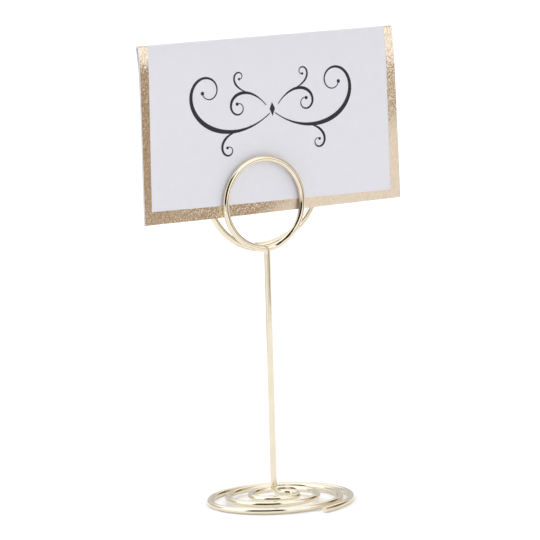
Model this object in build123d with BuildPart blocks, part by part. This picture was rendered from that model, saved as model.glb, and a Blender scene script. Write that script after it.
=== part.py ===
from build123d import *
import os
from math import asin, cos, degrees, pi, radians, sin, sqrt

# Place card holder: one bent wire makes a domed spiral foot, an upright stem and a ring clip of two turns,
# and the clip pinches a folded card. Millimetres and degrees. +Z is up, X runs along the card,
# the card faces -Y, and Z = 0 is the table.

# Wire
WIRE_D = 1.8
FOOT_FLAT = 0.15  # depth of the flat that the outer turn of the foot stands on
LEAST_TURN_GAP = 0.4  # what any turn has to leave between itself and the next

# Spiral foot, from its inner end to its cut end, clockwise seen from above
FOOT_X = -3.0  # centre of the spiral along the card
FOOT_INNER_R = 6.4
FOOT_OUTER_R = 20.7
FOOT_TURNS = 3.0  # turns between the two radii
FOOT_EASE = 0.88  # below 1 the turns open out sooner
FOOT_START = -32.0  # compass of the inner end, from +X
FOOT_DOME = 1.2  # how far the inner end rises above the outer turn
FOOT_DOME_TURNS = 2.45  # the turns beyond these lie on the table
TAIL_SWEEP = 57.0  # the cut end runs on past the last full turn
TAIL_FLARE = 2.6  # and opens outwards by this much
LEAD_JOIN = 0.125  # turns of the spiral where the lead from the stem runs into it
LEAD_RISE = 0.5  # the wire leaves the stem this much above the inner end
LEAD_HEADING = -10.0  # compass of the wire as it leaves the stem
FOOT_BEND_R = 2.2

# Stem and front turn of the clip
STEM_FOOT_X = -4.43
STEM_FOOT_BACK = 0.6  # foot of the stem behind the middle of the card
CLIP_FORWARD = 0.4  # the card's middle plane stands this far in front of the spiral's centre
RING_X = -4.68
RING_Z = 86.36
RING_R = 12.7
STEM_OFFSET = 0.25  # top of the stem to the right of the ring's centre
CLIP_BEND_R = 1.85
CROSSING_START = 51.0  # angle up from the ring's bottom where the wire starts towards the back

# Back turn of the clip
BACK_X = -3.45
BACK_Z = 90.3
BACK_R = 17.95
BACK_START_X = -2.7  # lowest point, where the wire has reached the back
BACK_START_Z = 73.05
BACK_END_X = -5.0  # cut end, inside the crossing
BACK_END_Z = 74.0
BACK_END_SLOPE = -4.0  # fall of the wire at its cut end, below 0 where it rises
BACK_END_CLEAR = 0.35  # between the cut end and the crossing

# Folded card
CARD_W = 85.0
CARD_H = 50.0
CARD_T = 0.35
CARD_Z = 108.5  # centre of the card above the table
CARD_ROLL = 0.36  # the right end sits higher
LEAF_GAP = 0.1  # between the two leaves where the clip pinches them
FOLD_DEPTH = 1.6  # over the soft fold at the top
FOLD_OPEN_H = 14.0  # the leaves spread over this height below the fold
FOLD_PLAY = 0.04  # hairline between the fold and the back leaf that swings about it
CLIP_CLEAR = 0.1  # between the wire and the card

# Foil border on the front leaf
FOIL_T = 0.03
FOIL_SIDE = 2.8  # width of the left and right strips
FOIL_BOTTOM = 3.1  # width of the bottom strip
FOIL_SKEW = -0.8  # the bare panel is turned a little on the card
FOIL_SHIFT = -0.25  # and sits a little to the left

WIRE_R = WIRE_D / 2
SEAT_Z = WIRE_R - FOOT_FLAT
HALF_STACK = CARD_T + LEAF_GAP / 2
FRONT_DEPTH = HALF_STACK + FOIL_T + CLIP_CLEAR + WIRE_R
BACK_DEPTH = HALF_STACK + CLIP_CLEAR + WIRE_R
TAIL_TURNS = FOOT_TURNS + TAIL_SWEEP / 360
SAMPLES = 400


def ease(share):
    """A slow start and a slow end between 0 and 1."""
    return share * share * (3 - 2 * share)


def foot_point(turns):
    """Centre of the wire on the spiral, from the spiral's own centre."""
    share = min(max(turns / FOOT_TURNS, 0), 1) ** FOOT_EASE
    radius = FOOT_INNER_R + (FOOT_OUTER_R - FOOT_INNER_R) * ease(share)
    tail = max(turns - FOOT_TURNS, 0) * 360 / TAIL_SWEEP
    radius += TAIL_FLARE * tail * tail
    compass = radians(FOOT_START - 360 * turns)
    rise = FOOT_DOME * max(1 - (turns / FOOT_DOME_TURNS) ** 2, 0)
    return Vector(radius * cos(compass), radius * sin(compass), SEAT_Z + rise)


# The spiral's centre is placed so that the foot is centred on Y = 0
foot_reach = [foot_point(TAIL_TURNS * step / SAMPLES).Y for step in range(SAMPLES + 1)]
FOOT_CENTRE = Vector(FOOT_X, -(min(foot_reach) + max(foot_reach)) / 2, 0)
CARD_Y = FOOT_CENTRE.Y - CLIP_FORWARD
FRONT_Y = CARD_Y - FRONT_DEPTH
BACK_Y = CARD_Y + BACK_DEPTH


def foot_knot(turns):
    """A point of the spiral with the direction of the wire there."""
    step = 0.002
    ahead = foot_point(turns + step) - foot_point(turns - step)
    return FOOT_CENTRE + foot_point(turns), ahead.normalized()


def ring_knot(angle):
    """A point of the front turn, angle measured from its bottom round by the left, and its direction."""
    turn = radians(angle)
    place = Vector(RING_X - RING_R * sin(turn), FRONT_Y, RING_Z - RING_R * cos(turn))
    return place, Vector(-cos(turn), 0, sin(turn))


def biarc(start, end):
    """Two tangent arcs between two knots, each a point and a direction."""
    (first, leaving), (last, arriving) = start, end
    chord = last - first
    along = chord.dot(leaving + arriving)
    spread = 2 * (1 - leaving.dot(arriving))
    reach = (sqrt(along * along + spread * chord.dot(chord)) - along) / spread
    near = first + leaving * reach
    far = last - arriving * reach
    middle = (near + far) * 0.5
    TangentArc(first, middle, tangent=leaving)
    TangentArc(middle, last, tangent=(far - near).normalized())


def wire_through(knots):
    """The wire's path through a list of knots."""
    for start, end in zip(knots, knots[1:]):
        biarc(start, end)


def wire_end(path):
    """The plane square across the start of a path."""
    return Plane(origin=path @ 0, z_dir=path % 0)


def least_gap(name, path):
    """Prints the least gap between stretches of one wire, neighbours along it left out."""
    points = [path @ (step / SAMPLES) for step in range(SAMPLES + 1)]
    apart = int(SAMPLES * pi * 2 * WIRE_D / path.length) + 1
    pairs = ((a, b) for i, a in enumerate(points) for b in points[i + apart:])
    gap = min((a - b).length for a, b in pairs) - WIRE_D
    tightest = min(edge.radius for edge in path.edges().filter_by(GeomType.CIRCLE))
    print(f"{name}: least gap to itself {gap:.2f}, tightest bend {tightest:.2f}, length {path.length:.1f}")
    if gap < LEAST_TURN_GAP:
        print(f"{name}: turns are closer than {LEAST_TURN_GAP}")


# Straight stretch between the foot bend and the clip bend
bend_reach = RING_R + CLIP_BEND_R
bend_side = CLIP_BEND_R - STEM_OFFSET
stem_top = Vector(RING_X + STEM_OFFSET, FRONT_Y, RING_Z - sqrt(bend_reach ** 2 - bend_side ** 2))
lead_z = SEAT_Z + FOOT_DOME + LEAD_RISE
stem_foot = Vector(STEM_FOOT_X, CARD_Y + STEM_FOOT_BACK, lead_z + FOOT_BEND_R)
stem_up = (stem_top - stem_foot).normalized()

with BuildPart() as stem:
    with BuildSketch(Plane(origin=stem_foot, z_dir=stem_up)):
        Circle(WIRE_R)
    extrude(amount=(stem_top - stem_foot).length)
stem.part.label = "stem"

# Spiral foot: bend under the stem, lead, turns and tail in one tube, cut flat where it stands
lead_way = Vector(cos(radians(LEAD_HEADING)), sin(radians(LEAD_HEADING)), 0)
lead = Vector(stem_foot.X, stem_foot.Y, lead_z) + lead_way * FOOT_BEND_R
quarters = [LEAD_JOIN + quarter / 4 for quarter in range(int(4 * (FOOT_TURNS - LEAD_JOIN)) + 1)]

with BuildPart() as base_spiral:
    with BuildLine() as foot_path:
        wire_through([(stem_foot, stem_up * -1), (lead, lead_way)])
        wire_through([(lead, lead_way)] + [foot_knot(turns) for turns in quarters + [TAIL_TURNS]])
    with BuildSketch(wire_end(foot_path.wire())):
        Circle(WIRE_R)
    sweep()
    split(bisect_by=Plane.XY, keep=Keep.TOP)
base_spiral.part.label = "base_spiral"
least_gap("base_spiral", foot_path.wire())

# Front turn: bend at the top of the stem, ring, then the crossing to the back
ring_start = degrees(asin(bend_side / bend_reach))
crossing = 360 - CROSSING_START
back_start = Vector(BACK_START_X, BACK_Y, BACK_START_Z)
leftwards = Vector(-1, 0, 0)

with BuildPart() as clip_front_turn:
    with BuildLine() as front_path:
        wire_through([(stem_top, stem_up), ring_knot(ring_start)])
        wire_through([ring_knot(angle) for angle in (ring_start, 90, 180, 270, crossing)])
        wire_through([ring_knot(crossing), (back_start, leftwards)])
    with BuildSketch(wire_end(front_path.wire())):
        Circle(WIRE_R)
    sweep()
clip_front_turn.part.label = "clip_front_turn"
least_gap("clip_front_turn", front_path.wire())

# Back turn: from behind the stem round the back of the card to the cut end
end_depth = BACK_Y + WIRE_D + BACK_END_CLEAR
end_way = Vector(-cos(radians(BACK_END_SLOPE)), 0, -sin(radians(BACK_END_SLOPE)))
back_knots = [
    (back_start, leftwards),
    (Vector(BACK_X - BACK_R, BACK_Y, BACK_Z), Vector(0, 0, 1)),
    (Vector(BACK_X, BACK_Y, BACK_Z + BACK_R), Vector(1, 0, 0)),
    (Vector(BACK_X + BACK_R, BACK_Y, BACK_Z), Vector(0, 0, -1)),
    (Vector(BACK_END_X, end_depth, BACK_END_Z), end_way),
]

with BuildPart() as clip_back_turn:
    with BuildLine() as back_path:
        wire_through(back_knots)
    with BuildSketch(wire_end(back_path.wire())):
        Circle(WIRE_R)
    sweep()
clip_back_turn.part.label = "clip_back_turn"
least_gap("clip_back_turn", back_path.wire())

# Card: its own frame has the depth along x, the height along y and the width along z
roll = radians(CARD_ROLL)
card_right = Vector(cos(roll), 0, sin(roll))
card_up = Vector(-sin(roll), 0, cos(roll))
card_centre = Vector(0, CARD_Y, CARD_Z)
card_corner = card_centre - card_right * (CARD_W / 2) - card_up * (CARD_H / 2)
card_section = Plane(origin=card_corner, x_dir=(0, 1, 0), z_dir=card_right)

fold_r = FOLD_DEPTH / 2
fold_inner_r = fold_r - CARD_T
fold_x = fold_r - HALF_STACK
fold_y = CARD_H - fold_r
pinch_y = fold_y - FOLD_OPEN_H

# The back leaf leaves the pinch on an arc that runs into the fold
leaf_side = HALF_STACK - fold_x
leaf_r = (leaf_side ** 2 + FOLD_OPEN_H ** 2 - fold_r ** 2) / (2 * (fold_r - leaf_side))
leaf_lean = degrees(asin(FOLD_OPEN_H / (leaf_r + fold_r)))

with BuildPart() as card_front_leaf:
    with BuildSketch(card_section):
        with Locations((-HALF_STACK, 0)):
            Rectangle(CARD_T, fold_y, align=(Align.MIN, Align.MIN))
    extrude(amount=CARD_W)
card_front_leaf.part.label = "card_front_leaf"

play_angle = degrees(FOLD_PLAY / fold_inner_r)

with BuildPart() as card_fold:
    with BuildSketch(card_section):
        with BuildLine():
            fold_span = 180 + leaf_lean - play_angle
            outer = CenterArc((fold_x, fold_y), fold_r, 180, -fold_span)
            inner = CenterArc((fold_x, fold_y), fold_inner_r, 180, -fold_span)
            Line(outer @ 0, inner @ 0)
            Line(outer @ 1, inner @ 1)
        make_face()
    extrude(amount=CARD_W)
card_fold.part.label = "card_fold"

with BuildPart() as card_back_leaf:
    with BuildSketch(card_section):
        with BuildLine():
            leaf_centre = (HALF_STACK + leaf_r, pinch_y)
            outside = CenterArc(leaf_centre, leaf_r, 180, -leaf_lean)
            inside = CenterArc(leaf_centre, leaf_r + CARD_T, 180, -leaf_lean)
            Line(outside @ 1, inside @ 1)
            Polyline(outside @ 0, (HALF_STACK, 0), (LEAF_GAP / 2, 0), inside @ 0)
        make_face()
    extrude(amount=CARD_W)
card_back_leaf.part.label = "card_back_leaf"

# Foil border: left, right and bottom strips round a bare panel that is open at the fold
card_face = Plane(
    origin=card_centre - Vector(0, HALF_STACK, 0),
    x_dir=card_right,
    z_dir=(0, -1, 0),
)
panel_w = CARD_W - 2 * FOIL_SIDE

with BuildPart() as foil_border_front:
    with BuildSketch(card_face):
        with Locations((0, -fold_r / 2)):
            Rectangle(CARD_W, fold_y)
        with Locations((FOIL_SHIFT, FOIL_BOTTOM)):
            Rectangle(panel_w, CARD_H, rotation=FOIL_SKEW, mode=Mode.SUBTRACT)
    extrude(amount=FOIL_T)
foil_border_front.part.label = "foil_border_front"

os.makedirs("parts", exist_ok=True)
for piece in (
    base_spiral,
    stem,
    clip_front_turn,
    clip_back_turn,
    card_front_leaf,
    card_fold,
    card_back_leaf,
    foil_border_front,
):
    export_step(piece.part, f"parts/{piece.part.label}.step")

# Places that the joints and mounts use
fold_hinge = card_centre + Vector(0, fold_x, 0) + card_up * (fold_y - CARD_H / 2)
print("clip hinge", back_start, "fold hinge", fold_hinge, "card up", card_up)
print("card middle plane", CARD_Y, "foot centre", FOOT_CENTRE)
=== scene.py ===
import math

import bmesh
import bpy
from mathutils import Matrix, Vector
from mathutils.geometry import delaunay_2d_cdt


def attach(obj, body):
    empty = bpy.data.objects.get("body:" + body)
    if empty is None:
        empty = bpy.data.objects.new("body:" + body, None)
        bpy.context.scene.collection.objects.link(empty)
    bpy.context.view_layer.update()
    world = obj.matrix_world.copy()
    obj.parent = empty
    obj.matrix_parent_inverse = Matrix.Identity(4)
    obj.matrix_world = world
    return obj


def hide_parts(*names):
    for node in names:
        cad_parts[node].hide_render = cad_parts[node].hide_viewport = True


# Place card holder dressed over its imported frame: one polished gold wire bent into a spiral foot, a stem
# and a ring clip, and a folded white card with a foil border. The dictionaries are in millimetres and
# degrees, the scene is in metres. +Z is up and the card faces -Y.

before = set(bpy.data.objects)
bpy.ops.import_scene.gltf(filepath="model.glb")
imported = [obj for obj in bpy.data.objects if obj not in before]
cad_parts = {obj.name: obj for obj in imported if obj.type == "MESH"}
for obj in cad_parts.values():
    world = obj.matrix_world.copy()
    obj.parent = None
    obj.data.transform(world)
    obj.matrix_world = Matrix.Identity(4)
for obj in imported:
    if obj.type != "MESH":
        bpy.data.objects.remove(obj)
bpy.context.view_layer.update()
mm = 0.001
noiseSpan = {"From Min": 0.3, "From Max": 0.7}  # where most of a noise texture's values lie
print("frame loaded:", len(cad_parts), "nodes")


# Small helpers

def place(x, y, z):
    return Vector((x, y, z)) * mm


def sRgb(code):
    parts = [int(code[i:i + 2], 16) / 255 for i in (1, 3, 5)]
    return tuple(p / 12.92 if p <= 0.04045 else ((p + 0.055) / 1.055) ** 2.4 for p in parts) + (1.0,)


def smooth(share):
    share = min(max(share, 0.0), 1.0)
    return share * share * (3 - 2 * share)


# A Mix node takes its two numbers on sockets 2 and 3, and its two colours on 6 and 7 for output 2
def addNode(tree, kind, values=None, links=None, **settings):
    node = tree.nodes.new(kind)
    for key, value in settings.items():
        setattr(node, key, value)
    for key, value in (values or {}).items():
        node.inputs[key].default_value = value
    for key, source in (links or {}).items():
        tree.links.new(source, node.inputs[key])
    return node


def newObject(name, data):
    made = bpy.data.objects.new(name, data)
    bpy.context.scene.collection.objects.link(made)
    return made


def newMaterial(name):
    material = bpy.data.materials.new(name)
    material.use_nodes = True
    material.node_tree.nodes.clear()
    return material, material.node_tree


def plainMesh(source, name):
    # the evaluated object becomes a plain mesh with no modifier left on it
    depsgraph = bpy.context.evaluated_depsgraph_get()
    mesh = bpy.data.meshes.new_from_object(source.evaluated_get(depsgraph))
    mesh.name = name
    bpy.data.objects.remove(source)
    return newObject(name, mesh)


# Camera, where the photo was taken from

view = {
    "target": (-3.033, 0.676, 60.0),
    "distance": 930.0,
    "azimuth": -31.834,
    "elevation": 7.479,
    "roll": -2.5,
    "focalPixels": 3267.0,
    "targetPixel": (271.424, 294.42),
    "imagePixels": 540.0,
    "sensorWidth": 36.0,
    "clipFrom": 10.0,
    "clipTo": 50000.0,
}


def makeCamera():
    azimuth = math.radians(view["azimuth"])
    elevation = math.radians(view["elevation"])
    back = Vector((
        math.sin(azimuth) * math.cos(elevation),
        -math.cos(azimuth) * math.cos(elevation),
        math.sin(elevation),
    ))
    level = Vector((math.cos(azimuth), math.sin(azimuth), 0))
    roll = Matrix.Rotation(math.radians(view["roll"]), 3, back)
    right = roll @ level
    up = back.cross(right)
    turn = Matrix((right, up, back)).transposed()
    middle = view["imagePixels"] / 2
    offset = Vector((
        view["targetPixel"][0] - middle,
        middle - view["targetPixel"][1],
        -view["focalPixels"],
    ))
    aim = Vector((0, 0, -1)).rotation_difference(offset)  # moves the target off the middle of the picture
    data = bpy.data.cameras.new("photoCamera")
    data.sensor_width = view["sensorWidth"]
    data.lens = view["focalPixels"] / view["imagePixels"] * view["sensorWidth"]
    data.clip_start = view["clipFrom"] * mm
    data.clip_end = view["clipTo"] * mm
    camera = newObject("photoCamera", data)
    camera.matrix_world = (turn @ aim.to_matrix().inverted()).to_4x4()
    camera.location = place(*view["target"]) + back * view["distance"] * mm
    bpy.context.scene.camera = camera


makeCamera()
print("camera ready")


# Gold plated steel wire: drawn through a die, bright plated and polished, so it mirrors the room in
# pale gold, with a trace of unevenness along the wire

goldWire = {
    "light": "#EFE8D7",
    "deep": "#E6D9BD",
    "toneSize": 7.0,  # patches of slightly deeper plating
    "waveSize": 1.6,  # long unevenness left by the die, drawn coarser than real so that it shows
    "waveDepth": 0.004,
    "waveStrength": 0.35,
    "smoothest": 0.03,
    "roughest": 0.11,
}


def makeGoldWire():
    material, tree = newMaterial("goldPlatedWire")
    where = addNode(tree, "ShaderNodeTexCoord").outputs["Object"]
    tone = addNode(
        tree, "ShaderNodeTexNoise",
        {"Scale": 1 / (goldWire["toneSize"] * mm), "Detail": 2.0, "Roughness": 0.5},
        {"Vector": where},
    )
    colour = addNode(
        tree, "ShaderNodeMix", {6: sRgb(goldWire["light"]), 7: sRgb(goldWire["deep"])},
        {"Factor": tone.outputs["Fac"]}, data_type="RGBA",
    )
    wave = addNode(
        tree, "ShaderNodeTexNoise",
        {"Scale": 1 / (goldWire["waveSize"] * mm), "Detail": 3.0, "Roughness": 0.55},
        {"Vector": where},
    )
    rough = addNode(
        tree, "ShaderNodeMapRange",
        {**noiseSpan, "To Min": goldWire["smoothest"], "To Max": goldWire["roughest"]},
        {"Value": wave.outputs["Fac"]},
    )
    bump = addNode(
        tree, "ShaderNodeBump",
        {"Strength": goldWire["waveStrength"], "Distance": goldWire["waveDepth"] * mm},
        {"Height": wave.outputs["Fac"]},
    )
    shader = addNode(
        tree, "ShaderNodeBsdfPrincipled",
        {"Metallic": 1.0},
        {"Base Color": colour.outputs[2], "Roughness": rough.outputs[0], "Normal": bump.outputs[0]},
    )
    addNode(tree, "ShaderNodeOutputMaterial", links={"Surface": shader.outputs[0]})
    return material


goldMaterial = makeGoldWire()


# Bent wire: its route is a list of knots, each a place and a heading, joined by pairs of tangent arcs

wire = {
    "diameter": 1.8,
    "flat": 0.15,  # depth of the flat that the foot stands on
    "ringSpacing": 0.3,  # between the rings of its mesh
    "sides": 36,
    "sharpAngle": 32.0,  # steeper edges, at the cut ends and the flat, are shaded hard
    "chamfer": 0.25,  # cut ends are dressed over this length
    "cutShare": 0.84,  # of the diameter is left at a cut end
    "sample": 0.12,  # between points worked out along the route
    "straight": 1e-5,  # an arc that turns by less, in radians, is a straight run
}

foot = {
    "x": -3.0,
    "innerRadius": 6.4,
    "outerRadius": 20.7,
    "turns": 3.0,
    "ease": 0.88,  # below 1 the turns open out sooner
    "start": -32.0,
    "dome": 1.2,  # height of the inner turn over the outer one
    "domeTurns": 2.45,  # the dome ends after this many turns
    "tailSweep": 57.0,
    "tailFlare": 2.6,  # the cut end stands out by this
    "leadJoin": 0.125,  # turns, where the lead from the stem meets the spiral
    "leadRise": 0.5,
    "leadHeading": -10.0,
    "bend": 2.2,
    "reachSteps": 400,
    "headingStep": 0.002,  # turns, to each side of a knot
}

clip = {
    "stemFootX": -4.43,
    "stemFootBack": 0.6,
    "forward": 0.4,
    "ringX": -4.68,
    "ringZ": 86.36,
    "ringRadius": 12.7,
    "stemOffset": 0.25,  # the stem stands this far right of the ring's middle
    "bend": 1.85,
    "crossingStart": 51.0,  # up from the ring's bottom, where the wire starts towards the back
    "backX": -3.45,
    "backZ": 90.3,
    "backRadius": 17.95,
    "backStart": (-2.7, 73.05),
    "backEnd": (-5.0, 74.0),
    "backEndSlope": -4.0,
    "backEndClear": 0.35,  # from the cut end to the wire before it
}

card = {
    "width": 85.0,
    "height": 50.0,
    "thickness": 0.35,
    "z": 108.5,
    "roll": 0.36,
    "leafGap": 0.1,
    "foldDepth": 1.6,
    "foldOpen": 14.0,  # below the fold, where the leaves come together
    "clipClear": 0.1,
    "foil": 0.03,  # thickness of the foil on its front
}

wireRadius = wire["diameter"] / 2
seatZ = wireRadius - wire["flat"]
tailTurns = foot["turns"] + foot["tailSweep"] / 360
halfStack = card["thickness"] + card["leafGap"] / 2


def footPoint(turns):
    share = min(max(turns / foot["turns"], 0), 1) ** foot["ease"]
    radius = foot["innerRadius"] + (foot["outerRadius"] - foot["innerRadius"]) * smooth(share)
    tail = max(turns - foot["turns"], 0) * 360 / foot["tailSweep"]
    radius += foot["tailFlare"] * tail * tail
    compass = math.radians(foot["start"] - 360 * turns)
    rise = foot["dome"] * max(1 - (turns / foot["domeTurns"]) ** 2, 0)
    return Vector((radius * math.cos(compass), radius * math.sin(compass), seatZ + rise))


footReach = [
    footPoint(tailTurns * step / foot["reachSteps"]).y for step in range(foot["reachSteps"] + 1)
]
footCentre = Vector((foot["x"], -(min(footReach) + max(footReach)) / 2, 0))
cardY = footCentre.y - clip["forward"]
frontY = cardY - halfStack - card["foil"] - card["clipClear"] - wireRadius
backY = cardY + halfStack + card["clipClear"] + wireRadius
cardRoll = math.radians(card["roll"])
cardRight = Vector((math.cos(cardRoll), 0, math.sin(cardRoll)))
cardUp = Vector((-math.sin(cardRoll), 0, math.cos(cardRoll)))
cardCentre = Vector((0, cardY, card["z"]))
backStart = Vector((clip["backStart"][0], backY, clip["backStart"][1])), Vector((-1, 0, 0))


def footKnot(turns):
    step = foot["headingStep"]
    ahead = footPoint(turns + step) - footPoint(turns - step)
    return footCentre + footPoint(turns), ahead.normalized()


def ringKnot(angle):
    turn = math.radians(angle)
    spot = Vector((
        clip["ringX"] - clip["ringRadius"] * math.sin(turn),
        frontY,
        clip["ringZ"] - clip["ringRadius"] * math.cos(turn),
    ))
    return spot, Vector((-math.cos(turn), 0, math.sin(turn)))


def arcPoints(first, heading, last):
    chord = last - first
    along = chord.dot(heading)
    aside = chord - heading * along
    half = math.atan2(aside.length, along)
    count = max(int(chord.length / wire["sample"]), 2)
    if half < wire["straight"]:
        return [first + chord * (step / count) for step in range(1, count + 1)]
    radius = chord.length / (2 * math.sin(half))
    aside.normalize()
    turns = [2 * half * step / count for step in range(1, count + 1)]
    return [first + heading * (radius * math.sin(t)) + aside * (radius * (1 - math.cos(t))) for t in turns]


def biarc(start, end):
    (first, leaving), (last, arriving) = start, end
    chord = last - first
    along = chord.dot(leaving + arriving)
    spread = 2 * (1 - leaving.dot(arriving))
    reach = (math.sqrt(along * along + spread * chord.dot(chord)) - along) / spread
    near = first + leaving * reach
    far = last - arriving * reach
    middle = (near + far) * 0.5
    return arcPoints(first, leaving, middle) + arcPoints(middle, (far - near).normalized(), last)


def routeThrough(knots):
    points = [knots[0][0]]
    for start, end in zip(knots, knots[1:]):
        points += biarc(start, end)
    return points


def holderRoute():
    bendReach = clip["ringRadius"] + clip["bend"]
    bendSide = clip["bend"] - clip["stemOffset"]
    top = Vector((
        clip["ringX"] + clip["stemOffset"],
        frontY,
        clip["ringZ"] - math.sqrt(bendReach ** 2 - bendSide ** 2),
    ))
    leadZ = seatZ + foot["dome"] + foot["leadRise"]
    bottom = Vector((clip["stemFootX"], cardY + clip["stemFootBack"], leadZ + foot["bend"]))
    rise = (top - bottom).normalized()
    heading = math.radians(foot["leadHeading"])
    leadWay = Vector((math.cos(heading), math.sin(heading), 0))
    lead = Vector((bottom.x, bottom.y, leadZ)) + leadWay * foot["bend"]
    quarterCount = int(4 * (foot["turns"] - foot["leadJoin"])) + 1
    quarters = [foot["leadJoin"] + step / 4 for step in range(quarterCount)]
    footKnots = [(bottom, -rise), (lead, leadWay)] + [footKnot(turns) for turns in quarters + [tailTurns]]
    ringStart = math.degrees(math.asin(bendSide / bendReach))
    crossing = 360 - clip["crossingStart"]
    ringKnots = [ringKnot(angle) for angle in (ringStart, 90, 180, 270, crossing)]
    clipKnots = [(top, rise)] + ringKnots + [backStart]
    footPoints = routeThrough(footKnots)
    footPoints.reverse()
    stemPoints = arcPoints(bottom, rise, top)
    return footPoints + stemPoints + routeThrough(clipKnots)[1:]


def backTurnRoute():
    slope = math.radians(clip["backEndSlope"])
    endDepth = backY + wire["diameter"] + clip["backEndClear"]
    x, z, radius = clip["backX"], clip["backZ"], clip["backRadius"]
    knots = [
        backStart,
        (Vector((x - radius, backY, z)), Vector((0, 0, 1))),
        (Vector((x, backY, z + radius)), Vector((1, 0, 0))),
        (Vector((x + radius, backY, z)), Vector((0, 0, -1))),
        (
            Vector((clip["backEnd"][0], endDepth, clip["backEnd"][1])),
            Vector((-math.cos(slope), 0, -math.sin(slope))),
        ),
    ]
    return routeThrough(knots)


# Geometry Nodes: a round wire along a route, with dressed ends and a flat where it meets the table

def makeWireTree():
    tree = bpy.data.node_groups.new("roundWire", "GeometryNodeTree")
    sockets = {}
    for name, kind in (
        ("Route", "NodeSocketGeometry"),
        ("Diameter", "NodeSocketFloat"),
        ("Sides", "NodeSocketInt"),
        ("Ring Spacing", "NodeSocketFloat"),
        ("Chamfer", "NodeSocketFloat"),
        ("Start Share", "NodeSocketFloat"),
        ("End Share", "NodeSocketFloat"),
        ("Table Height", "NodeSocketFloat"),
        ("Material", "NodeSocketMaterial"),
    ):
        sockets[name] = tree.interface.new_socket(name, in_out="INPUT", socket_type=kind).identifier
    tree.interface.new_socket("Wire", in_out="OUTPUT", socket_type="NodeSocketGeometry")
    given = addNode(tree, "NodeGroupInput").outputs
    even = addNode(
        tree, "GeometryNodeResampleCurve", links={"Curve": given["Route"], "Length": given["Ring Spacing"]},
        mode="LENGTH",
    )
    along = addNode(tree, "GeometryNodeSplineParameter").outputs["Length"]
    whole = addNode(tree, "GeometryNodeSplineLength").outputs["Length"]
    left = addNode(tree, "ShaderNodeMath", links={0: whole, 1: along}, operation="SUBTRACT")
    startCut = addNode(
        tree, "ShaderNodeMapRange", {"To Max": 1.0},
        {"Value": along, "From Max": given["Chamfer"], "To Min": given["Start Share"]},
    )
    endCut = addNode(
        tree, "ShaderNodeMapRange", {"To Max": 1.0},
        {"Value": left.outputs[0], "From Max": given["Chamfer"], "To Min": given["End Share"]},
    )
    cut = addNode(
        tree, "ShaderNodeMath", links={0: startCut.outputs[0], 1: endCut.outputs[0]}, operation="MINIMUM",
    )
    half = addNode(tree, "ShaderNodeMath", {1: 0.5}, {0: given["Diameter"]}, operation="MULTIPLY")
    section = addNode(
        tree, "GeometryNodeCurvePrimitiveCircle",
        links={"Resolution": given["Sides"], "Radius": half.outputs[0]},
    )
    sized = addNode(
        tree, "GeometryNodeSetCurveRadius", links={"Curve": even.outputs[0], "Radius": cut.outputs[0]},
    )
    tube = addNode(
        tree, "GeometryNodeCurveToMesh", {"Fill Caps": True},
        {"Curve": sized.outputs[0], "Profile Curve": section.outputs[0]},
    )
    spot = addNode(
        tree, "ShaderNodeSeparateXYZ", links={0: addNode(tree, "GeometryNodeInputPosition").outputs[0]},
    )
    above = addNode(
        tree, "ShaderNodeMath", links={0: spot.outputs["Z"], 1: given["Table Height"]}, operation="MAXIMUM",
    )
    moved = addNode(
        tree, "ShaderNodeCombineXYZ",
        links={"X": spot.outputs["X"], "Y": spot.outputs["Y"], "Z": above.outputs[0]},
    )
    stood = addNode(
        tree, "GeometryNodeSetPosition", links={"Geometry": tube.outputs[0], "Position": moved.outputs[0]},
    )
    rounded = addNode(
        tree, "GeometryNodeSetShadeSmooth", links={"Geometry": stood.outputs[0]}, domain="FACE",
    )
    angle = addNode(tree, "GeometryNodeInputMeshEdgeAngle").outputs[0]
    hard = addNode(
        tree, "FunctionNodeCompare", {"B": math.radians(wire["sharpAngle"])}, {"A": angle},
        data_type="FLOAT", operation="GREATER_THAN",
    )
    edged = addNode(
        tree, "GeometryNodeSetShadeSmooth", {"Shade Smooth": False},
        {"Geometry": rounded.outputs[0], "Selection": hard.outputs[0]}, domain="EDGE",
    )
    real = addNode(tree, "GeometryNodeRealizeInstances", links={"Geometry": edged.outputs[0]})
    finished = addNode(
        tree, "GeometryNodeSetMaterial", links={"Geometry": real.outputs[0], "Material": given["Material"]},
    )
    addNode(tree, "NodeGroupOutput", links={"Wire": finished.outputs[0]})
    return tree, sockets


wireTree, wireSockets = makeWireTree()


def makeWire(name, route, startShare, endShare):
    curve = bpy.data.curves.new(name + "Route", "CURVE")
    curve.dimensions = "3D"
    spline = curve.splines.new("POLY")
    spline.points.add(len(route) - 1)
    for point, spot in zip(spline.points, route):
        point.co = (*(spot * mm), 1.0)
    source = newObject(name + "Route", curve)
    modifier = source.modifiers.new("roundWire", "NODES")
    modifier.node_group = wireTree
    for key, value in (
        ("Diameter", wire["diameter"] * mm),
        ("Sides", wire["sides"]),
        ("Ring Spacing", wire["ringSpacing"] * mm),
        ("Chamfer", wire["chamfer"] * mm),
        ("Start Share", startShare),
        ("End Share", endShare),
        ("Table Height", 0.0),
        ("Material", goldMaterial),
    ):
        modifier[wireSockets[key]] = value
    return plainMesh(source, name)


holderWire = makeWire("holderWire", holderRoute(), wire["cutShare"], 1.0)
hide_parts("base_spiral", "stem", "clip_front_turn")
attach(holderWire, "holder")
backTurn = makeWire("clipBackTurn", backTurnRoute(), 1.0, wire["cutShare"])
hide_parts("clip_back_turn")
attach(backTurn, "clip_spring")
print("wire made:", len(holderWire.data.polygons) + len(backTurn.data.polygons), "faces")


# Smooth white card: uncoated pressed pulp board, so it is matt, a touch blue from its brightener, with
# faint fibres

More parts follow.
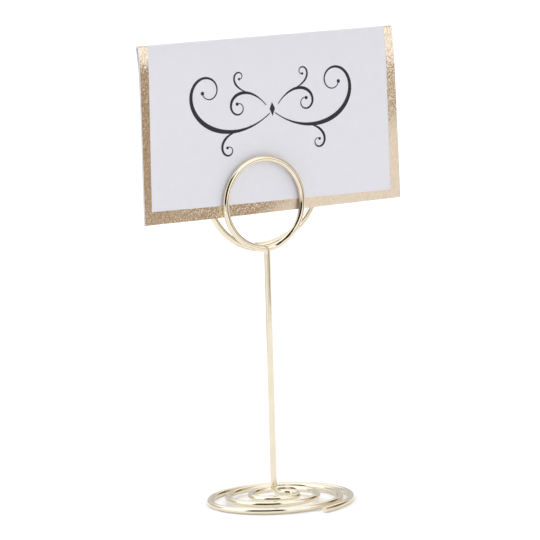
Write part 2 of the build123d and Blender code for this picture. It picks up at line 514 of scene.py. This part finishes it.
cardStock = {
    "white": "#F1F1F6",
    "shade": "#ECECF1",
    "clumpSize": 3.0,
    "fibreSize": 0.35,  # drawn coarser than real fibres so that it shows
    "fibreDepth": 0.006,
    "fibreStrength": 0.5,
    "roughness": 0.82,
    "specular": 0.3,
}


def makeCardStock():
    material, tree = newMaterial("whiteCardStock")
    where = addNode(tree, "ShaderNodeTexCoord").outputs["Object"]
    clump = addNode(
        tree, "ShaderNodeTexNoise",
        {"Scale": 1 / (cardStock["clumpSize"] * mm), "Detail": 4.0, "Roughness": 0.6}, {"Vector": where},
    )
    colour = addNode(
        tree, "ShaderNodeMix", {6: sRgb(cardStock["white"]), 7: sRgb(cardStock["shade"])},
        {"Factor": clump.outputs["Fac"]}, data_type="RGBA",
    )
    fibre = addNode(
        tree, "ShaderNodeTexNoise",
        {"Scale": 1 / (cardStock["fibreSize"] * mm), "Detail": 5.0, "Roughness": 0.65}, {"Vector": where},
    )
    bump = addNode(
        tree, "ShaderNodeBump",
        {"Strength": cardStock["fibreStrength"], "Distance": cardStock["fibreDepth"] * mm},
        {"Height": fibre.outputs["Fac"]},
    )
    shader = addNode(
        tree, "ShaderNodeBsdfPrincipled",
        {"Roughness": cardStock["roughness"], "Specular IOR Level": cardStock["specular"]},
        {"Base Color": colour.outputs[2], "Normal": bump.outputs[0]},
    )
    addNode(tree, "ShaderNodeOutputMaterial", links={"Surface": shader.outputs[0]})
    return material


# Hot stamped gold foil: a metal film pressed on board, mirror bright but broken into flecks by the grain
# of the board, and satin where it was pressed less, towards the lower right, paler there by painted sheen

goldFoil = {
    "light": "#F6EBDA",
    "deep": "#D6C1A1",
    "fleckSize": 0.5,  # drawn coarser and deeper than the board's real grain so that it shows
    "fleckDepth": 0.1,
    "fleckTurn": 40.0,  # flecks lie aslant and are longer than wide
    "fleckStretch": 0.5,
    "smoothest": 0.06,
    "roughest": 0.15,
    "satin": 0.5,  # roughness where it was pressed less
    "satinFrom": (0.0, -23.5),  # on the card, from its middle
    "satinWay": -62.0,
    "satinFade": (-5.0, 6.5),
    "calm": 0.55,  # where it is satin the flecks fade by this share
    "sheenPaintedTone": 0.2,  # painted sheen: where it is satin the colour is drawn towards this share of the deep tone, so paler
}


def makeGoldFoil():
    material, tree = newMaterial("hotStampedFoil")
    where = addNode(tree, "ShaderNodeTexCoord").outputs["Object"]
    turned = addNode(
        tree, "ShaderNodeMapping",
        {
            "Rotation": (0.0, math.radians(goldFoil["fleckTurn"]), 0.0),
            "Scale": (1.0, 1.0, goldFoil["fleckStretch"]),
        },
        {"Vector": where},
    )
    fleck = addNode(
        tree, "ShaderNodeTexNoise",
        {"Scale": 1 / (goldFoil["fleckSize"] * mm), "Detail": 3.0, "Roughness": 0.6},
        {"Vector": turned.outputs[0]},
    )
    sharp = addNode(
        tree, "ShaderNodeMapRange", noiseSpan, {"Value": fleck.outputs["Fac"]},
    )
    # distance from a slanting line on the card, positive towards its lower right corner
    slant = math.radians(goldFoil["satinWay"])
    start = cardCentre + cardRight * goldFoil["satinFrom"][0] + cardUp * goldFoil["satinFrom"][1]
    toCorner = cardRight * math.cos(slant) + cardUp * math.sin(slant)
    offset = addNode(
        tree, "ShaderNodeVectorMath", {1: start * mm}, {0: where}, operation="SUBTRACT",
    )
    past = addNode(
        tree, "ShaderNodeVectorMath", {1: toCorner}, {0: offset.outputs[0]}, operation="DOT_PRODUCT",
    )
    satin = addNode(
        tree, "ShaderNodeMapRange",
        {"From Min": goldFoil["satinFade"][0] * mm, "From Max": goldFoil["satinFade"][1] * mm},
        {"Value": past.outputs["Value"]}, interpolation_type="SMOOTHSTEP",
    )
    flecked = addNode(
        tree, "ShaderNodeMath", {1: -goldFoil["calm"], 2: 1.0}, {0: satin.outputs[0]},
        operation="MULTIPLY_ADD",
    )
    # painted sheen: where it is satin the colour is lifted towards the light tone, besides being made
    # rougher
    tone = addNode(
        tree, "ShaderNodeMix", {2: goldFoil["sheenPaintedTone"]}, {0: flecked.outputs[0], 3: sharp.outputs[0]},
        data_type="FLOAT",
    )
    colour = addNode(
        tree, "ShaderNodeMix", {6: sRgb(goldFoil["light"]), 7: sRgb(goldFoil["deep"])},
        {"Factor": tone.outputs[0]}, data_type="RGBA",
    )
    bright = addNode(
        tree, "ShaderNodeMapRange",
        {"To Min": goldFoil["smoothest"], "To Max": goldFoil["roughest"]}, {"Value": sharp.outputs[0]},
    )
    rough = addNode(
        tree, "ShaderNodeMix", {3: goldFoil["satin"]}, {0: satin.outputs[0], 2: bright.outputs[0]},
        data_type="FLOAT",
    )
    bump = addNode(
        tree, "ShaderNodeBump", {"Distance": goldFoil["fleckDepth"] * mm},
        {"Height": fleck.outputs["Fac"], "Strength": flecked.outputs[0]},
    )
    shader = addNode(
        tree, "ShaderNodeBsdfPrincipled", {"Metallic": 1.0},
        {"Base Color": colour.outputs[2], "Roughness": rough.outputs[0], "Normal": bump.outputs[0]},
    )
    addNode(tree, "ShaderNodeOutputMaterial", links={"Surface": shader.outputs[0]})
    return material


cardMaterial = makeCardStock()
foilMaterial = makeGoldFoil()


# Folded card: one sheet laid out flat. u runs across it, and s from the front's lower edge over the fold
# to the back's lower edge

sheet = {
    "bowBack": (0.5, 0.1),  # the left and the right end of the card stand back from the clip
    "twist": (1.0, 0.05),  # bottom left and top right corners stand further back
    "heldX": -4.25,  # nothing bends near the clip
    "heldHalf": 16.0,
    "freeHalf": 34.0,
    "acrossStep": 1.7,
    "alongStep": 1.75,
    "foldSteps": 18,
    "edgeBevel": 0.05,
    "bevelSegments": 2,
    "bevelAngle": 50.0,
    "sharpAngle": 40.0,
    "leanFrom": 40.5,  # above this height both leaves lean back to the fold, lower down to the right
    "leanSkew": 0.06,
    "leanBend": 4.0,
    "leanSlope": (7.0, 3.6),  # at the left and the right end
}

foldRadius = card["foldDepth"] / 2
foldX = foldRadius - halfStack
foldY = card["height"] - foldRadius
pinchY = foldY - card["foldOpen"]
midFold = foldRadius - card["thickness"] / 2
leafSide = halfStack - foldX
leafRadius = (leafSide ** 2 + card["foldOpen"] ** 2 - foldRadius ** 2) / (2 * (foldRadius - leafSide))
leafLean = math.asin(card["foldOpen"] / (leafRadius + foldRadius))
foldSweep = math.pi + leafLean
midLeaf = leafRadius + card["thickness"] / 2
foldEnd = foldY + midFold * foldSweep
leafEnd = foldEnd + midLeaf * leafLean
sheetEnd = leafEnd + pinchY


def sheetProfile(s, lift):
    # depth and height of the sheet's middle at s, lifted off it towards the outside
    midStack = halfStack - card["thickness"] / 2
    if s <= foldY:
        return -midStack - lift, s
    if s <= foldEnd:
        angle = math.pi - (s - foldY) / midFold
        reach = midFold + lift
        return foldX + reach * math.cos(angle), foldY + reach * math.sin(angle)
    if s <= leafEnd:
        angle = math.pi - (leafEnd - s) / midLeaf
        reach = midLeaf - lift
        return halfStack + leafRadius + reach * math.cos(angle), pinchY + reach * math.sin(angle)
    return midStack + lift, pinchY - (s - leafEnd)


def sheetPoint(u, s, lift=0.0):
    depth, height = sheetProfile(s, lift)
    across = u / (card["width"] / 2)
    upright = height / (card["height"] / 2) - 1
    away = (abs(u - sheet["heldX"]) - sheet["heldHalf"]) / (sheet["freeHalf"] - sheet["heldHalf"])
    end = 0 if u < sheet["heldX"] else 1
    bend = sheet["bowBack"][end] * across * across + sheet["twist"][end] * across * upright
    depth += bend * smooth(away)
    above = max(height - sheet["leanFrom"] + sheet["leanSkew"] * u, 0)
    bent = min(above, sheet["leanBend"])
    left, right = sheet["leanSlope"]
    slope = math.radians((left + right) / 2 + (right - left) / 2 * across)
    depth += slope * (bent * bent / (2 * sheet["leanBend"]) + above - bent)
    spot = cardCentre + cardRight * u + cardUp * (height - card["height"] / 2)
    return Vector((spot.x, spot.y + depth, spot.z)) * mm


def evenly(start, end, step):
    count = max(round((end - start) / step), 1)
    return [start + (end - start) * i / count for i in range(count + 1)]


def gridMesh(name, rows, skip=None):
    # rows of points joined by quads, leaving out the quads that skip names
    made = bmesh.new()
    points = [[made.verts.new(point) for point in row] for row in rows]
    for i in range(len(points) - 1):
        for j in range(len(points[0]) - 1):
            if skip is None or not skip(i, j):
                made.faces.new((points[i][j], points[i][j + 1], points[i + 1][j + 1], points[i + 1][j]))
    loose = [vert for vert in made.verts if not vert.link_faces]
    bmesh.ops.delete(made, geom=loose, context="VERTS")
    for face in made.faces:
        face.smooth = True
    mesh = bpy.data.meshes.new(name)
    made.to_mesh(mesh)
    made.free()
    return newObject(name + "Sheet", mesh)


def thicken(source, name, thickness, bevel, material):
    source.data.materials.append(material)
    solid = source.modifiers.new("thickness", "SOLIDIFY")
    solid.thickness = thickness * mm
    solid.offset = 0.0
    solid.use_even_offset = True
    if bevel:
        edge = source.modifiers.new("edge", "BEVEL")
        edge.width = bevel * mm
        edge.segments = sheet["bevelSegments"]
        edge.limit_method = "ANGLE"
        edge.angle_limit = math.radians(sheet["bevelAngle"])
    piece = plainMesh(source, name)
    piece.data.set_sharp_from_angle(angle=math.radians(sheet["sharpAngle"]))
    return piece


def makeLeaf(name, stretches):
    across = evenly(-card["width"] / 2, card["width"] / 2, sheet["acrossStep"])
    heights = []
    for start, end, step in stretches:
        heights += evenly(start, end, step)[1 if heights else 0:]
    rows = [[sheetPoint(u, s) for u in across] for s in heights]
    return thicken(gridMesh(name, rows), name, card["thickness"], sheet["edgeBevel"], cardMaterial)


foldStep = (foldEnd - foldY) / sheet["foldSteps"]
frontLeaf = makeLeaf("cardFrontAndFold", [(0, foldY, sheet["alongStep"]), (foldY, foldEnd, foldStep)])
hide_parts("card_front_leaf", "card_fold")
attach(frontLeaf, "card")
backStretches = [(foldEnd, leafEnd, sheet["alongStep"]), (leafEnd, sheetEnd, sheet["alongStep"])]
backLeaf = makeLeaf("cardBack", backStretches)
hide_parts("card_back_leaf")
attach(backLeaf, "card_back")
print("card made:", len(frontLeaf.data.polygons) + len(backLeaf.data.polygons), "faces")


# Foil border: left, right and bottom strips round a bare panel that sits a little crooked

foil = {
    "side": 2.8,
    "bottom": 3.1,
    "skew": -0.8,  # turn of the bare panel
    "shift": -0.25,
    "overFold": 80.0,  # how far the side strips follow the fold, of its half turn
    "stripSteps": 3,
    "acrossSteps": 44,
    "upSteps": 30,
    "foldSteps": 8,
}


def makeFoil():
    half = card["width"] / 2
    skew = math.radians(foil["skew"])
    panelHalf = half - foil["side"]
    top = foldY + midFold * math.radians(foil["overFold"])
    middle = card["height"] / 2

    def panelSide(sign, s):
        # the panel's left or right edge at height s
        return foil["shift"] + sign * panelHalf - math.tan(skew) * (s - middle - foil["bottom"])

    def panelFoot(u):
        return foil["bottom"] + math.tan(skew) * (u - foil["shift"])

    steps = foil["stripSteps"]
    inner = evenly(0, 1, 1 / foil["acrossSteps"])
    up = evenly(0, 1, 1 / foil["upSteps"])
    over = evenly(foldY, top, (top - foldY) / foil["foldSteps"])[1:]
    rows = []
    for i in range(steps + len(up) + len(over)):
        row = []
        for j in range(2 * steps + len(inner)):
            share = inner[min(max(j - steps, 0), len(inner) - 1)]
            sill = panelFoot(panelSide(-1, 0) + share * 2 * panelHalf)
            if i < steps:
                s = sill * i / steps
            elif i < steps + len(up):
                s = sill + (foldY - sill) * up[i - steps]
            else:
                s = over[i - steps - len(up)]
            left, right = panelSide(-1, s), panelSide(1, s)
            if j < steps:
                u = -half + (left + half) * j / steps
            elif j < steps + len(inner):
                u = left + (right - left) * share
            else:
                u = right + (half - right) * (j - steps - len(inner) + 1) / steps
            row.append(sheetPoint(u, s, card["thickness"] / 2 + card["foil"] / 2))
        rows.append(row)

    def inPanel(i, j):
        return i >= steps and steps <= j < steps + len(inner) - 1

    return thicken(gridMesh("foilBorder", rows, inPanel), "foilBorder", card["foil"], 0, foilMaterial)


foilBorder = makeFoil()
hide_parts("foil_border_front")
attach(foilBorder, "card")
print("foil made:", len(foilBorder.data.polygons), "faces")


# Black drawing ink: pigment dried into the board, nearly matt, thinner where the nib ran quickly

blackInk = {
    "deep": "#1F1C23",
    "thin": "#3A363F",
    "streakSize": 1.1,
    "grainSize": 0.3,  # drawn coarser than real so that it shows
    "grainDepth": 0.006,
    "grainStrength": 0.5,
    "roughness": 0.6,
    "specular": 0.3,
}


def makeBlackInk():
    material, tree = newMaterial("blackDrawingInk")
    where = addNode(tree, "ShaderNodeTexCoord").outputs["Object"]
    streak = addNode(
        tree, "ShaderNodeTexNoise",
        {"Scale": 1 / (blackInk["streakSize"] * mm), "Detail": 4.0, "Roughness": 0.6}, {"Vector": where},
    )
    colour = addNode(
        tree, "ShaderNodeMix", {6: sRgb(blackInk["deep"]), 7: sRgb(blackInk["thin"])},
        {"Factor": streak.outputs["Fac"]}, data_type="RGBA",
    )
    grain = addNode(
        tree, "ShaderNodeTexNoise",
        {"Scale": 1 / (blackInk["grainSize"] * mm), "Detail": 3.0, "Roughness": 0.6}, {"Vector": where},
    )
    bump = addNode(
        tree, "ShaderNodeBump",
        {"Strength": blackInk["grainStrength"], "Distance": blackInk["grainDepth"] * mm},
        {"Height": grain.outputs["Fac"]},
    )
    shader = addNode(
        tree, "ShaderNodeBsdfPrincipled",
        {"Roughness": blackInk["roughness"], "Specular IOR Level": blackInk["specular"]},
        {"Base Color": colour.outputs[2], "Normal": bump.outputs[0]},
    )
    addNode(tree, "ShaderNodeOutputMaterial", links={"Surface": shader.outputs[0]})
    return material


# Ink ornament: a mirrored pair of pen scrolls round a lozenge, on the card's bare panel

ornament = {
    "centre": (0.0, 4.0),  # from the middle of the card
    "steps": 110,
    "ballSides": 20,
    "mergeWithin": 1e-5,
    "thickness": 0.03,
    "proud": 0.02,  # stands off the board by this, the rest has soaked in
    "lozenge": [(0.0, 2.2), (-0.9, 0.3), (0.0, -1.8), (0.9, 0.3)],
    "strokes": [  # bend is degrees of turn for each power of the share along the stroke
        {
            "start": (0.9, -0.9), "heading": -36.0, "length": 53.0, "bend": {1: 140.0, 4: 345.0},
            "hair": 0.15, "swell": 0.66, "peak": 0.40, "ball": 0.55,
        },
        {
            "start": (2.0, 1.5), "heading": 50.0, "length": 24.0, "bend": {1: -100.0, 3: -340.0},
            "hair": 0.13, "swell": 0.44, "peak": 0.42, "ball": 0.5,
        },
        {
            "branch": (0, 0.2), "heading": 2.0, "length": 16.5, "bend": {1: -70.0, 3: -330.0},
            "hair": 0.12, "swell": 0.38, "peak": 0.45, "ball": 0.42,
        },
        {
            "branch": (1, 0.26), "heading": 2.0, "length": 13.0, "bend": {1: 30.0, 3: 330.0},
            "hair": 0.12, "swell": 0.30, "peak": 0.50, "ball": 0.38,
        },
    ],
}


def strokePath(stroke):
    # points along a stroke, each with its place, heading and half width
    steps = ornament["steps"]
    x, y = stroke.get("start", (0, 0))
    heading = math.radians(stroke["heading"])
    if "branch" in stroke:
        parent, share = stroke["branch"]
        x, y, along, _ = strokePath(ornament["strokes"][parent])[round(share * steps)]
        heading += along
    path = []
    for step in range(steps + 1):
        share = step / steps
        bend = sum(turn * share ** power for power, turn in stroke["bend"].items())
        angle = heading + math.radians(bend)
        swell = share / stroke["peak"] if share < stroke["peak"] else (1 - share) / (1 - stroke["peak"])
        half = stroke["hair"] + (stroke["swell"] - stroke["hair"]) * smooth(swell)
        path.append((x, y, angle, half))
        x += stroke["length"] / steps * math.cos(angle)
        y += stroke["length"] / steps * math.sin(angle)
    return path


def inkOutlines():
    outlines = [ornament["lozenge"]]
    for stroke in ornament["strokes"]:
        path = strokePath(stroke)
        left = [(x - half * math.sin(angle), y + half * math.cos(angle)) for x, y, angle, half in path]
        right = [(x + half * math.sin(angle), y - half * math.cos(angle)) for x, y, angle, half in path]
        x, y = path[-1][:2]
        sides = ornament["ballSides"]
        turns = [2 * math.pi * side / sides for side in range(sides)]
        ball = [(x + stroke["ball"] * math.cos(t), y + stroke["ball"] * math.sin(t)) for t in turns]
        for outline in (right + left[::-1], ball):
            outlines += [outline, [(-x, y) for x, y in reversed(outline)]]
    return outlines


def makeOrnament():
    spots = []
    rings = []
    for outline in inkOutlines():
        rings.append(list(range(len(spots), len(spots) + len(outline))))
        spots += [Vector(spot) for spot in outline]
    # overlapping strokes become one flat shape, and only what lies inside a stroke is kept
    insideOnly = 1
    flat = delaunay_2d_cdt(spots, [], rings, insideOnly, ornament["mergeWithin"])
    lift = card["thickness"] / 2 + ornament["proud"] - ornament["thickness"] / 2
    u, v = ornament["centre"]
    made = bmesh.new()
    verts = [made.verts.new(sheetPoint(u + x, card["height"] / 2 + v + y, lift)) for x, y in flat[0]]
    for corners, sources in zip(flat[2], flat[5]):
        if sources:
            made.faces.new([verts[corner] for corner in corners])
    loose = [vert for vert in made.verts if not vert.link_faces]
    bmesh.ops.delete(made, geom=loose, context="VERTS")
    bmesh.ops.recalc_face_normals(made, faces=made.faces)
    for face in made.faces:
        face.smooth = True
    mesh = bpy.data.meshes.new("inkOrnament")
    made.to_mesh(mesh)
    made.free()
    return thicken(newObject("inkSheet", mesh), "inkOrnament", ornament["thickness"], 0, makeBlackInk())


inkOrnament = makeOrnament()
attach(inkOrnament, "card")
print("ink made:", len(inkOrnament.data.polygons), "faces")


# Studio: a white table top with white all round. Soft bright, dim, dark and tan areas in it stand for the
# room that the polished wire and the foil mirror

studio = {
    "floorRadius": 300.0,
    "floorSides": 96,
    "floorDrop": 0.05,  # below the foot
    "floorWhite": "#FAFAFA",
    "floorRoughness": 0.9,
    "floorGlow": 0.12,  # the table top is lit from below as well
    "roomTint": "#F8FAFF",
    "roomLevel": 1.31,
    "backdrop": 1.2,
    # middle, half width and softness of each area, azimuth from the front towards +X
    "areas": [
        # window on the left
        {"azimuth": (-116, 26, 8), "elevation": (20, 50, 14), "colour": "#FFFFFF", "level": 1.6},
        # low down on the left, past the table
        {"azimuth": (-80, 66, 12), "elevation": (-8, 5, 2), "colour": "#FFFFFF", "level": 1.05},
        # low down in front
        {"azimuth": (-22, 32, 10), "elevation": (-8, 5, 2), "colour": "#FFFFFF", "level": 0.78},
        # walls behind
        {"azimuth": (145, 35, 10), "elevation": (0, 28, 8), "colour": "#FFFFFF", "level": 0.66},
        {"azimuth": (-160, 24, 8), "elevation": (0, 28, 8), "colour": "#FFFFFF", "level": 0.66},
        # dark corner in front, the streaks on the wire
        {"azimuth": (-52, 34, 6), "elevation": (24, 27, 4), "colour": "#2B1C08", "level": 1.0},
        # warm wall on the right with a darker door in it
        {"azimuth": (80, 32, 12), "elevation": (30, 32, 12), "colour": "#DFD0BA", "level": 1.0},
        {"azimuth": (90, 15, 7), "elevation": (23, 14, 7), "colour": "#725D47", "level": 1.0},
        # tan ground in front, which the foil mirrors
        {"azimuth": (30, 22, 6), "elevation": (-25, 22.5, 1.2), "colour": "#A4907A", "level": 1.0},
        {"azimuth": (18, 12, 3), "elevation": (-26, 18, 2.5), "colour": "#B8A692", "level": 1.0},
    ],
}


def makeFloor():
    sides = studio["floorSides"]
    radius = studio["floorRadius"]
    turns = [2 * math.pi * side / sides for side in range(sides)]
    rim = [place(radius * math.cos(t), radius * math.sin(t), -studio["floorDrop"]) for t in turns]
    mesh = bpy.data.meshes.new("tableTop")
    mesh.from_pydata(rim, [], [list(range(sides))])
    floor = newObject("tableTop", mesh)
    material = bpy.data.materials.new("whiteTable")
    material.use_nodes = True
    shader = material.node_tree.nodes["Principled BSDF"]
    shader.inputs["Base Color"].default_value = sRgb(studio["floorWhite"])
    shader.inputs["Roughness"].default_value = studio["floorRoughness"]
    shader.inputs["Emission Color"].default_value = sRgb(studio["floorWhite"])
    shader.inputs["Emission Strength"].default_value = studio["floorGlow"]
    mesh.materials.append(material)


def makeRoom():
    world = bpy.data.worlds.new("whiteStudio")
    bpy.context.scene.world = world
    world.use_nodes = True
    tree = world.node_tree
    tree.nodes.clear()
    way = addNode(tree, "ShaderNodeTexCoord").outputs["Generated"]
    ways = addNode(tree, "ShaderNodeSeparateXYZ", links={0: way}).outputs
    front = addNode(tree, "ShaderNodeMath", {1: -1.0}, {0: ways["Y"]}, operation="MULTIPLY")
    azimuth = addNode(
        tree, "ShaderNodeMath", links={0: ways["X"], 1: front.outputs[0]}, operation="ARCTAN2",
    )
    elevation = addNode(tree, "ShaderNodeMath", links={0: ways["Z"]}, operation="ARCSINE")
    plain = [channel * studio["roomLevel"] for channel in sRgb(studio["roomTint"])]
    light = None
    for area in studio["areas"]:
        masks = []
        for angle, (middle, half, soft) in ((azimuth, area["azimuth"]), (elevation, area["elevation"])):
            off = addNode(
                tree, "ShaderNodeMath", {1: math.radians(middle)}, {0: angle.outputs[0]},
                operation="SUBTRACT",
            )
            away = addNode(tree, "ShaderNodeMath", links={0: off.outputs[0]}, operation="ABSOLUTE")
            masks.append(addNode(
                tree, "ShaderNodeMapRange",
                {
                    "From Min": math.radians(half - soft), "From Max": math.radians(half + soft),
                    "To Min": 1.0, "To Max": 0.0,
                },
                {"Value": away.outputs[0]}, interpolation_type="SMOOTHSTEP",
            ))
        mask = addNode(
            tree, "ShaderNodeMath", links={0: masks[0].outputs[0], 1: masks[1].outputs[0]},
            operation="MULTIPLY",
        )
        inside = [channel * area["level"] for channel in sRgb(area["colour"])]
        shaded = addNode(
            tree, "ShaderNodeMix", {6: plain, 7: inside}, {"Factor": mask.outputs[0]}, data_type="RGBA",
        )
        if light:
            tree.links.new(light, shaded.inputs[6])
        light = shaded.outputs[2]
    room = addNode(tree, "ShaderNodeBackground", links={"Color": light})
    white = {"Color": (1, 1, 1, 1), "Strength": studio["backdrop"]}
    backdrop = addNode(tree, "ShaderNodeBackground", white)
    seen = addNode(tree, "ShaderNodeLightPath").outputs["Is Camera Ray"]
    both = addNode(tree, "ShaderNodeMixShader", links={0: seen, 1: room.outputs[0], 2: backdrop.outputs[0]})
    addNode(tree, "ShaderNodeOutputWorld", links={"Surface": both.outputs[0]})


makeFloor()
makeRoom()
bpy.context.scene.view_settings.view_transform = "Standard"
print("studio ready")
